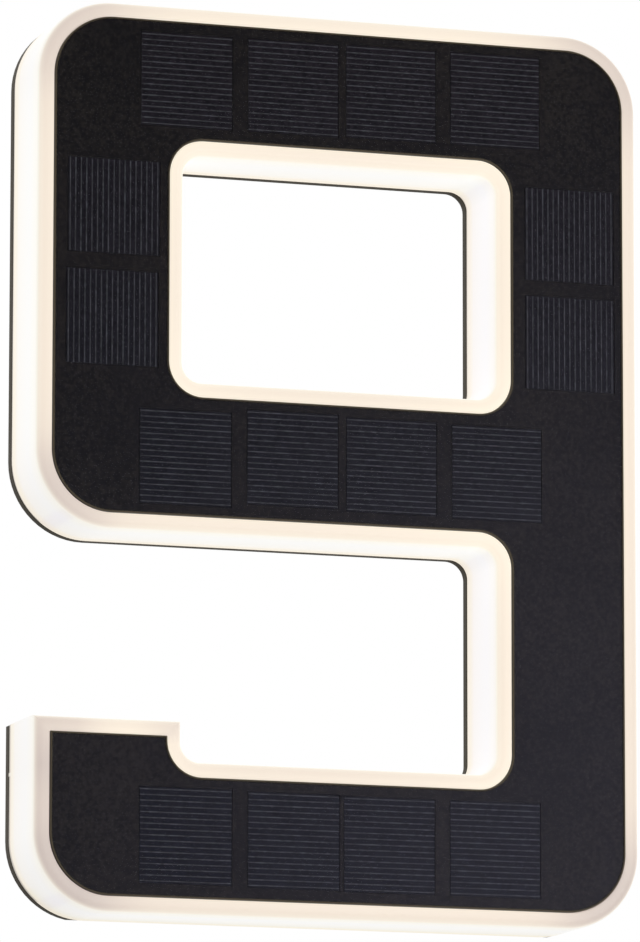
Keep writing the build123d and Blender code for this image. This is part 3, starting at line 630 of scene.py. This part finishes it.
def mottle(tree, shader):
    """Adds the pressed relief of 0.95 mm, and gives its height back to vary the tone with."""
    place = add_node(tree, "TexCoord")
    fleck = add_node(tree, "TexNoise", {"Vector": place.outputs["Object"],
                                        "Scale": 1 / (0.95 * MM), "Detail": 1.0})
    relief = add_node(tree, "Bump", {"Height": fleck.outputs["Fac"], "Strength": 0.3,
                                     "Distance": 0.03 * MM})
    tree.links.new(relief.outputs["Normal"], shader.inputs["Normal"])
    return place.outputs["Object"], fleck.outputs["Fac"]


# %% Board material
laminate, tree, shader = start_material("black_solder_mask_laminate", Roughness=0.3,
                                        Specular_IOR_Level=0.06, Specular_Tint=SHEEN)
where, fleck = mottle(tree, shader)
drift = add_node(tree, "TexNoise", {"Vector": where, "Scale": 1 / (45 * MM), "Detail": 1.0})
both = add_node(tree, "MixRGB", {"Fac": 0.75, "Color1": drift.outputs["Fac"], "Color2": fleck})
tone = add_node(tree, "ValToRGB", {"Fac": both.outputs["Color"]},
                [(0.36, "#0A0907"), (0.5, "#13110E"), (0.64, "#1D1A16")])
tree.links.new(tone.outputs["Color"], shader.inputs["Base Color"])
dress(laminate, "solar_board")
print("solar board dressed")

# %% [markdown]
# ## The clear film
#
# The film is polyester, 0.3 mm thick, laid over board and cells. The imported sheet
# lies right on the board, and two faces in one plane flicker in a render, so the
# film is made again with a hundredth of a millimetre of air under it and with its
# front edge eased. It is clear, so a low alpha on one shader is enough, which is
# simpler than real refraction and lets the black below stay black. Its cut edge is
# drawn opaque, and about the outer half millimetre is painted brown: painted glow of
# the rim, whose light creeps into the edge. An attribute on the mesh says how near the edge is.

# %% Film sheet
FILM_EDGE, FILM_REAR, FILM_FRONT = 4.4, 28.11, 28.4
BROWN_END, CLEAR_START = FILM_EDGE + 0.3, FILM_EDGE + 0.7

film_profile = np.array([(CLEAR_START, FILM_REAR), (FILM_EDGE, FILM_REAR),
                         (FILM_EDGE, FILM_FRONT - 0.08), (FILM_EDGE + 0.02, FILM_FRONT - 0.03),
                         (FILM_EDGE + 0.08, FILM_FRONT), (BROWN_END, FILM_FRONT),
                         (CLEAR_START, FILM_FRONT)])
grids = [sweep(outer_path, film_profile), sweep(window_path, film_profile)]
n_rim = len(grids[0]) * len(film_profile)
film = mesh_object("film_sheet", np.concatenate([g.reshape(-1, 3) for g in grids]),
                   np.concatenate([ring_faces(*grids[0].shape[:2], 0),
                                   ring_faces(*grids[1].shape[:2], n_rim)]))
fill_flat(film.data, [rims(len(film_profile), 0), rims(len(film_profile), len(film_profile) - 1)])
film.data.set_sharp_from_angle(angle=np.radians(40))
# The band at the edge that carries the painted glow of the rim.
edge_glow_paint = np.tile(film_profile[:, 0] < CLEAR_START, len(film.data.vertices) // len(film_profile))
film.data.attributes.new("edge_glow_paint", "FLOAT", "POINT")
film.data.attributes["edge_glow_paint"].data.foreach_set("value", edge_glow_paint.astype(np.float32))
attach(film, "sign")
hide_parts("cover_film")

# %% Film material
clear, tree, shader = start_material("pressed_clear_polyester_film", Roughness=0.4, IOR=1.57,
                                     Specular_IOR_Level=0.05)
mottle(tree, shader)
edge = add_node(tree, "Attribute", attribute_name="edge_glow_paint")
# Painted glow: the ramp paints the rim's light as brown on the edge band, and the alpha makes that
# band opaque.
tone = add_node(tree, "ValToRGB", {"Fac": edge.outputs["Fac"]},
                [(0.0, "#141416"), (0.3, "#2A251C"), (1.0, "#463F33")])
veil = add_node(tree, "MapRange", {"Value": edge.outputs["Fac"], "To Min": 0.04, "To Max": 1.0})
tree.links.new(tone.outputs["Color"], shader.inputs["Base Color"])
tree.links.new(veil.outputs["Result"], shader.inputs["Alpha"])
film.data.materials.append(clear)
dress(clear, "cover_film")
print("film sheet:", len(film.data.polygons), "faces")

# %% [markdown]
# ## Solar cells and their fingers
#
# Sixteen squares cut from silicon wafers sit in the board, each with seventeen
# fine lines of silver paste. The wafers' coating makes them blue-black. They were
# laid by hand, so none lies quite at its even place, and the frame says where each
# one is. The lines are real, thin prints, so they get their own mesh: one small
# box, repeated 272 times as an array. A printed line is about 0.1 mm wide. It is
# drawn 0.3 mm wide with the mean colour of line and cell, so that it shows.

# %% Cell material
silicon, tree, shader = start_material("coated_silicon_wafer", Roughness=0.3,
                                       Specular_IOR_Level=0.06, Specular_Tint=SHEEN)
where, fleck = mottle(tree, shader)
axes = add_node(tree, "SeparateXYZ", {"Vector": where})
# The cells' base colour runs lighter and warmer at the top, and darker and bluer towards the foot.
down = add_node(tree, "MapRange", {"Value": axes.outputs["Z"], "From Min": 24 * MM,
                                   "From Max": -226 * MM})
tone_top_to_foot = add_node(tree, "ValToRGB", {"Fac": down.outputs["Result"]},
                [(0.0, "#161316"), (0.5, "#0D0E12"), (1.0, "#070A12")])
vary = add_node(tree, "MapRange", {"Value": fleck, "From Min": 0.3, "From Max": 0.7,
                                   "To Min": 0.45, "To Max": 1.55})
tinted = add_node(tree, "VectorMath", {0: tone_top_to_foot.outputs["Color"], "Scale": vary.outputs["Result"]},
                  operation="SCALE")
tree.links.new(tinted.outputs["Vector"], shader.inputs["Base Color"])
dress(silicon, "solar_cells")
print("cells dressed")

# %% Where the cells lie
INNER_CELL_X, OUTER_CELL_X, COLUMN_CELL_Z = 14.15, 44.25, 15.325
z_bars = [Z_TOP - STROKE / 2, z_bowl + STROKE / 2, z_low + STROKE / 2]
x_in_bar = (-OUTER_CELL_X, -INNER_CELL_X, INNER_CELL_X, OUTER_CELL_X)
z_middle = Z_TOP - STROKE - gap / 2
x_columns = [left + STROKE / 2, right_side - STROKE / 2]
even = np.array([(x, z) for z in z_bars for x in x_in_bar]
                + [(x, z_middle + s * COLUMN_CELL_Z) for x in x_columns for s in (1, -1)])
cell_mesh = nodes["solar_cells"].data
at = np.empty(len(cell_mesh.vertices) * 3, np.float32)
cell_mesh.vertices.foreach_get("co", at)
at = at.reshape(-1, 3) / MM
nearest = ((at[:, None, [0, 2]] - even[None]) ** 2).sum(2).argmin(1)
boxes = np.array([(at[nearest == k].min(0), at[nearest == k].max(0)) for k in range(len(even))])
cells = boxes.mean(1)[:, [0, 2]]
cell_side = float((boxes[:, 1] - boxes[:, 0])[:, 0].mean())
cell_top = float(-at[:, 1].min())
print(len(cells), "cells of", round(cell_side, 2), "mm, furthest from its even place by",
      round(float(np.abs(cells - even).max()), 2), "mm")

# %% Printed fingers
PITCH, LINES = 1.555, 17
LINE_WIDTH, LINE_HEIGHT, LINE_END = 0.3, 0.02, 0.05

across = (np.arange(LINES) - (LINES - 1) / 2) * PITCH
corner = np.array([(-1, -1, 0), (1, -1, 0), (1, 1, 0), (-1, 1, 0),
                   (-1, -1, 1), (1, -1, 1), (1, 1, 1), (-1, 1, 1)], float)
line = corner * np.array([cell_side / 2 - LINE_END, LINE_WIDTH / 2, LINE_HEIGHT])
side = np.broadcast_to(across[None, :, None] + line[:, 1], (len(cells), LINES, 8))
along = np.broadcast_to(line[:, 0], side.shape)
upright = (np.arange(len(cells)) >= len(z_bars) * len(x_in_bar))[:, None, None]
x = cells[:, 0, None, None] + np.where(upright, side, along)
z = cells[:, 1, None, None] + np.where(upright, along, side)
y = -(cell_top + np.broadcast_to(line[:, 2], side.shape))
box = np.array([(4, 5, 6, 7), (0, 1, 5, 4), (1, 2, 6, 5), (2, 3, 7, 6), (3, 0, 4, 7),
                (3, 2, 1, 0)])
first = np.arange(len(cells) * LINES)[:, None, None] * 8
fingers = mesh_object("cell_fingers", np.stack([x, y, z], -1).reshape(-1, 3) * MM,
                      (first + box[None]).reshape(-1, 4))
fill_flat(fingers.data, [])
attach(fingers, "sign")
print(len(cells) * LINES, "fingers on", len(cells), "cells")

# %% Silver paste
paste, tree, shader = start_material("printed_silver_paste", Roughness=0.3,
                                     Specular_IOR_Level=0.05, Specular_Tint=SHEEN)
place = add_node(tree, "TexCoord")
worn = add_node(tree, "TexNoise", {"Vector": place.outputs["Object"], "Scale": 1 / (1.2 * MM),
                                   "Detail": 2.0})
tone = add_node(tree, "ValToRGB", {"Fac": worn.outputs["Fac"]},
                [(0.3, "#292929"), (0.5, "#38383B"), (0.7, "#48494E")])
tree.links.new(tone.outputs["Color"], shader.inputs["Base Color"])
fingers.data.materials.append(paste)
print("silver paste dressed")

# %% [markdown]
# ## Finishes made by grain and tone
#
# The rest of the pieces are plain mouldings, boards, sheets and plated parts. Each
# gets a colour that drifts between two tones, over a few millimetres or, on the
# plate, a few centimetres. It also gets a fine relief from how its surface was
# made, and the roughness that such a surface has. One function builds these from
# real sizes: the grain in millimetres and its depth.

# %% A surface from two tones and a grain
def grained(name, dark, pale, grain_mm, depth_mm, drift_mm=8.0, **surface):
    """A material whose tone drifts over drift_mm, with a relief of grain_mm and depth_mm."""
    material, tree, shader = start_material(name, **surface)
    place = add_node(tree, "TexCoord")
    drift = add_node(tree, "TexNoise", {"Vector": place.outputs["Object"],
                                        "Scale": 1 / (drift_mm * MM), "Detail": 2.0})
    fine = add_node(tree, "TexNoise", {"Vector": place.outputs["Object"],
                                       "Scale": 1 / (grain_mm * MM), "Detail": 2.0})
    both = add_node(tree, "MixRGB", {"Fac": 0.5, "Color1": drift.outputs["Fac"],
                                     "Color2": fine.outputs["Fac"]})
    tone = add_node(tree, "ValToRGB", {"Fac": both.outputs["Color"]}, [(0.38, dark), (0.62, pale)])
    relief = add_node(tree, "Bump", {"Height": fine.outputs["Fac"], "Strength": 0.6,
                                     "Distance": depth_mm * MM})
    tree.links.new(tone.outputs["Color"], shader.inputs["Base Color"])
    tree.links.new(relief.outputs["Normal"], shader.inputs["Normal"])
    return material


print("grained surfaces ready")

# %% [markdown]
# ## The dark back plate
#
# The plate, its door and the seals are what shows behind the glowing shell. The
# plate is anthracite ABS from a spark-eroded tool, which leaves an even matt grain
# of about 0.35 mm. The seals are black silicone, matt and slightly darker, and the
# switch knob is a smooth acetal moulding.

# %% Plate, seals and knob
# The plate's dark tone is its own. Its warm cast and warm reflection tint are painted glow of the
# shell.
abs_plate = grained("anthracite_abs_spark_eroded_painted_glow", "#28231A", "#332D21", 0.35, 0.03,
                    drift_mm=30.0, Roughness=0.62, Specular_Tint=to_linear("#F2E6CC"))
silicone = grained("black_silicone_moulded", "#1A1917", "#24221F", 0.5, 0.01, Roughness=0.8,
                   Specular_IOR_Level=0.3)
acetal = grained("black_acetal_moulded", "#131313", "#1B1B1B", 0.4, 0.005, Roughness=0.35)
dress(abs_plate, "back_plate", "battery_door")
dress(silicone, "outer_gasket", "window_gasket", "door_gasket")
dress(acetal, "switch_knob")
print("plate, door, seals and knob dressed")

# %% [markdown]
# ## Screws, contacts and leads
#
# The screws are zinc plated steel with a bright, slightly blue passivation. The
# battery contacts are nickel plated spring steel, which is warmer. Metals keep
# the default IOR. The leads have soft red silicone insulation.

# %% Metals and leads
zinc = grained("zinc_plated_steel", "#A9ABB0", "#C6C8CC", 0.25, 0.004, drift_mm=3.0,
               Metallic=1.0, Roughness=0.34)
nickel = grained("nickel_plated_spring_steel", "#B9B3A6", "#D0CABD", 0.2, 0.003, drift_mm=4.0,
                 Metallic=1.0, Roughness=0.28)
tin = grained("tinned_copper_soldered", "#B4B2AE", "#D2D0CC", 0.5, 0.02, drift_mm=2.0,
              Metallic=1.0, Roughness=0.4)
can = grained("drawn_aluminium_can", "#B9BBBE", "#D5D7DA", 0.15, 0.003, drift_mm=3.0,
              Metallic=1.0, Roughness=0.3)
lead = grained("red_silicone_insulation_extruded", "#7E120F", "#A21C17", 0.6, 0.01, Roughness=0.5)
dress(zinc, "housing_screws", "door_screws", "board_screws")
dress(nickel, "battery_contact", "battery_spring")
dress(tin, "solar_terminals")
dress(can, "capacitors")
dress(lead, "solar_leads", "battery_leads", "led_leads")
print("metals and leads dressed")

# %% [markdown]
# ## Boards, battery and sheets
#
# Inside, the light boards are aluminium with white solder mask, the control board
# is glass epoxy with green mask, and the chips are moulded epoxy. The cell wears
# a plain shrink wrap. White film covers the plate and sends the light forward,
# and black foam tape holds the panel and seals the switch.

# %% Inside pieces
white_mask = grained("white_solder_mask_aluminium", "#E2E2DE", "#EFEFEC", 0.8, 0.004,
                     Roughness=0.4)
green_mask = grained("green_solder_mask_glass_epoxy", "#0E4526", "#16613A", 0.9, 0.01,
                     Roughness=0.35)
epoxy = grained("black_epoxy_transfer_moulded", "#121212", "#1F1F1F", 0.15, 0.01, Roughness=0.6)
ferrite = grained("sintered_ferrite", "#262625", "#373735", 0.3, 0.03, Roughness=0.75)
nylon = grained("natural_nylon_moulded", "#DDD9CC", "#EAE7DC", 0.5, 0.01, Roughness=0.45)
wrap = grained("blue_pvc_shrink_wrap", "#1F4A80", "#2B5C98", 3.0, 0.02, Roughness=0.22)
foam = grained("black_acrylic_foam_tape", "#161616", "#242424", 0.2, 0.04, Roughness=0.9)
white_film = grained("matt_white_polyester_film", "#EDEDEA", "#F6F6F4", 0.6, 0.004,
                     Roughness=0.7)
boards = [name for name in nodes if name.startswith(("led_board", "led_strip"))]
dress(white_mask, *boards)
dress(green_mask, "control_board")
dress(epoxy, "control_chip", "switch_body")
dress(ferrite, "inductor")
dress(nylon, "headers")
dress(wrap, "battery")
dress(foam, "panel_tape", "switch_gasket")
dress(white_film, "reflector_sheet")
print("inside pieces dressed")

# %% [markdown]
# ## Light chips and the hidden shell node
#
# A light chip is a white frame round a yellow phosphor. It glows warm white, so
# its material gives light as well as colour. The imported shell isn't shown, since
# the swept one stands for it, but it gets the same family of finish all the same.

# %% Chips
phosphor = grained("phosphor_in_white_frame", "#F0D060", "#F6E39A", 0.3, 0.01, Roughness=0.4,
                   Emission_Color=to_linear("#FFE2B0"), Emission_Strength=1.2)
hidden_opal = grained("opal_polycarbonate_plain", "#E9E4DA", "#F2EEE5", 0.5, 0.01, Roughness=0.38)
dress(phosphor, "leds")
dress(hidden_opal, "diffuser_shell")
bare = [name for name, obj in nodes.items() if not obj.data.materials[0].use_nodes]
print("nodes without a node material:", bare)
